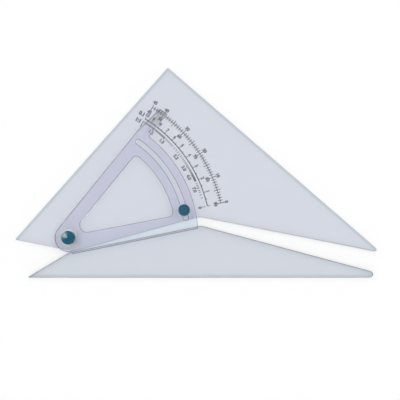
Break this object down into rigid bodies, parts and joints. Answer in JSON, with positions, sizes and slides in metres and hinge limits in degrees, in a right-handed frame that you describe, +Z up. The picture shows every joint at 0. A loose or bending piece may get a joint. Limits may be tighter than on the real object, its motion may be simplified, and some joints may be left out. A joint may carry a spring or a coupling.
{
  "type": "adjustable set square",
  "caption": "Clear drafting set square: a triangle turns on a low base plate under a sector arm with an arc slot, and a clamp knob locks the angle.",
  "frame": {"origin": "pivot axis, on the flat underside that lies on the drawing", "axes": "+X along the ruling edge towards the pointed toe, +Y towards the triangle's top corner, +Z up out of the printed side"},
  "size_m": [0.2375, 0.1393, 0.0101],
  "materials": {
    "clear_plate": "polished clear acrylic sheet, faint grey-blue",
    "clear_arm": "polished clear acrylic, faint lavender",
    "knob_plastic": "glossy moulded teal-blue",
    "bush_brass": "turned brass",
    "screw_steel": "plated steel",
    "washer_plastic": "translucent nylon"
  },
  "bodies": {
    "base": {"base_plate": "clear_plate", "sector_arm": "clear_arm", "pivot_screw": "screw_steel", "pivot_bush": "bush_brass", "pivot_friction_washer": "washer_plastic"},
    "triangle": {"triangle_plate": "clear_plate", "clamp_screw": "screw_steel", "clamp_friction_washer": "washer_plastic"},
    "pivot_ring": {"pivot_washer": "washer_plastic"},
    "pivot_nut": {"pivot_knob": "knob_plastic", "pivot_knob_insert": "bush_brass"},
    "clamp_ring": {"clamp_washer": "screw_steel"},
    "clamp_nut": {"clamp_knob": "knob_plastic", "clamp_knob_insert": "bush_brass"}
  },
  "joints": [
    {"name": "triangle_swing", "type": "hinge", "parent": "base", "child": "triangle", "pos_m": [0, 0, 0], "axis": [0, 0, 1], "range_deg": [-3.8, 41.2]},
    {"name": "pivot_ring_lift", "type": "slide", "parent": "base", "child": "pivot_ring", "axis": [0, 0, 1], "range_m": [0, 0.0005]},
    {"name": "pivot_knob_turn", "type": "hinge", "parent": "pivot_ring", "child": "pivot_nut", "pos_m": [0, 0, 0.006], "axis": [0, 0, 1], "range_deg": [0, 360]},
    {"name": "clamp_ring_lift", "type": "slide", "parent": "triangle", "child": "clamp_ring", "axis": [0, 0, 1], "range_m": [0, 0.0005]},
    {"name": "clamp_knob_turn", "type": "hinge", "parent": "clamp_ring", "child": "clamp_nut", "pos_m": [0.07539, 0.01796, 0.006], "axis": [0, 0, 1], "range_deg": [0, 360]}
  ],
  "couplings": [
    {"joint": "pivot_knob_turn", "follows": "pivot_ring_lift", "rad_per_m": 12566},
    {"joint": "clamp_knob_turn", "follows": "clamp_ring_lift", "rad_per_m": 12566}
  ]
}
